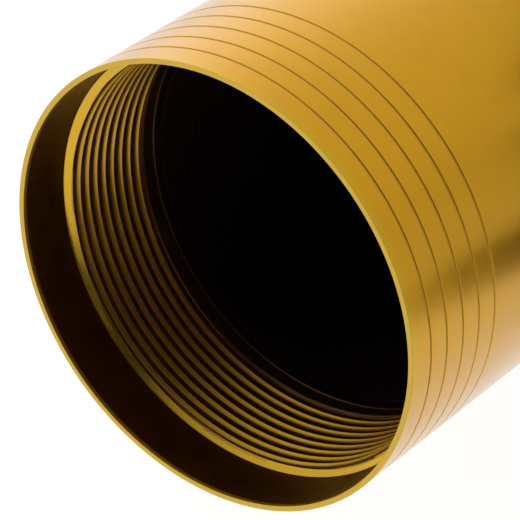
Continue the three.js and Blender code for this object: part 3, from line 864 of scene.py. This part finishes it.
bm = moved(fluted(), EYE)
d = az_dir(0)
bm = combine(bm, [bore([(0, 15.2), (2.1, 15.2), (2.1, 27.7), (2.1, 27.9), (3.9, 27.95), (3.9, 33), (0, 33)], 48, outward(d, Vector((0, EP_Y, 77))))])
piece("adapter_turned", bm, "adapter_1_25in", "adapter", [black_turned], sharp=30)
piece(
    "clamp_tip_adapter_moulded", moved(clamp_tip(), outward(d, Vector((0, EP_Y, 77)) + d * 17.9)),
    "clamp_tip_adapter", "clamp_tip_adapter", [nylon.m], sharp=40,
)
piece(
    "thumbscrew_adapter_knurled", moved(thumbscrew(10.05), outward(d, Vector((0, EP_Y, 77)) + d * 29.1)),
    "thumbscrew_adapter", "thumbscrew_adapter", [steel.m], sharp=28,
)

# ------------------------------------------------------------------ stage

FLOOR_Z = -0.0322
me = bpy.data.meshes.new("floor")
me.from_pydata([(-3, -3, FLOOR_Z), (3, -3, FLOOR_Z), (3, 3, FLOOR_Z), (-3, 3, FLOOR_Z)], [], [(0, 1, 2, 3)])
fm = bpy.data.materials.new("pale_floor")
fm.use_nodes = True
fp = fm.node_tree.nodes["Principled BSDF"]
fp.inputs["Base Color"].default_value = (0.14, 0.14, 0.14, 1)
fp.inputs["Roughness"].default_value = 0.9
fp.inputs["Specular IOR Level"].default_value = 0.0
fp.inputs["Emission Color"].default_value = (1, 1, 1, 1)
fp.inputs["Emission Strength"].default_value = 0.96
me.materials.append(fm)
floor = bpy.data.objects.new("floor", me)
scene.collection.objects.link(floor)

# a dark sheet on the floor in front, seen only in reflections: painted shade that darkens the reflected floor beside
# the part, in place of the part's own shadow
me = bpy.data.meshes.new("flag")
me.from_pydata(
    [
        (-0.11, -0.29, -0.0315), (-0.005, -0.125, -0.0315), (0.016, -0.10, -0.0315), (0.024, -0.050, -0.0315), (0.70, -0.050, -0.0315),
        (0.70, -0.90, -0.0315), (-0.60, -0.90, -0.0315),
    ],
    [], [(0, 1, 2, 3, 4, 5, 6)],
)
bm = bpy.data.materials.new("painted_shade_flag")
bm.use_nodes = True
bp = bm.node_tree.nodes["Principled BSDF"]
bp.inputs["Base Color"].default_value = (0.02, 0.02, 0.02, 1)
bp.inputs["Roughness"].default_value = 1.0
bp.inputs["Specular IOR Level"].default_value = 0.0
me.materials.append(bm)
flag = bpy.data.objects.new("flag", me)
scene.collection.objects.link(flag)
flag.visible_camera = False
flag.visible_diffuse = False
flag.visible_shadow = False

# a glowing card at the right, seen only in reflections: a painted reflection that puts a bright patch in the barrel
# where the dark eyepiece holder would show
me = bpy.data.meshes.new("card")
me.from_pydata([(0.042, 0.004, -0.001), (0.100, 0.004, -0.001), (0.100, 0.004, 0.040), (0.042, 0.004, 0.040)], [], [(0, 1, 2, 3)])
cm = bpy.data.materials.new("painted_reflection_card")
cm.use_nodes = True
cp = cm.node_tree.nodes["Principled BSDF"]
cp.inputs["Base Color"].default_value = (0.25, 0.25, 0.25, 1)
cp.inputs["Roughness"].default_value = 1.0
cp.inputs["Emission Color"].default_value = (1, 1, 1, 1)
cp.inputs["Emission Strength"].default_value = 0.58
me.materials.append(cm)
card = bpy.data.objects.new("card", me)
scene.collection.objects.link(card)
card.visible_camera = False
card.visible_diffuse = False
card.visible_shadow = False

# surroundings: an even pale room with a large soft light at the left rear
world = bpy.data.worlds.new("studio")
scene.world = world
world.use_nodes = True
wt = world.node_tree
bg = wt.nodes["Background"]
wc = wt.nodes.new("ShaderNodeTexCoord")


def lobe(direction, amount, sharpness):
    d = Vector(direction).normalized()
    dot = wt.nodes.new("ShaderNodeVectorMath")
    dot.operation = "DOT_PRODUCT"
    wt.links.new(wc.outputs["Generated"], dot.inputs[0])
    dot.inputs[1].default_value = d
    hi = wt.nodes.new("ShaderNodeMath")
    hi.operation = "MAXIMUM"
    wt.links.new(dot.outputs["Value"], hi.inputs[0])
    hi.inputs[1].default_value = 0.0
    po = wt.nodes.new("ShaderNodeMath")
    po.operation = "POWER"
    wt.links.new(hi.outputs[0], po.inputs[0])
    po.inputs[1].default_value = sharpness
    mu = wt.nodes.new("ShaderNodeMath")
    mu.operation = "MULTIPLY"
    wt.links.new(po.outputs[0], mu.inputs[0])
    mu.inputs[1].default_value = amount
    return mu.outputs[0]


def total(values, base):
    acc = None
    for v in values:
        a = wt.nodes.new("ShaderNodeMath")
        a.operation = "ADD"
        wt.links.new(v, a.inputs[0])
        if acc is None:
            a.inputs[1].default_value = base
        else:
            wt.links.new(acc, a.inputs[1])
        acc = a.outputs[0]
    return acc


lobes = [lobe((-0.66, 0.68, 0.31), 0.60, 7), lobe((0.42, -0.90, 0.08), -1.06, 6), lobe((0.78, -0.50, 0.36), -0.95, 3), lobe((0.0, -0.60, 0.80), -0.50, 6)]
lit = wt.nodes.new("ShaderNodeMath")
lit.operation = "MAXIMUM"
wt.links.new(total(lobes, 0.85), lit.inputs[0])
lit.inputs[1].default_value = 0.03
wt.links.new(lit.outputs[0], bg.inputs["Strength"])
bg.inputs["Color"].default_value = (1, 1, 1, 1)
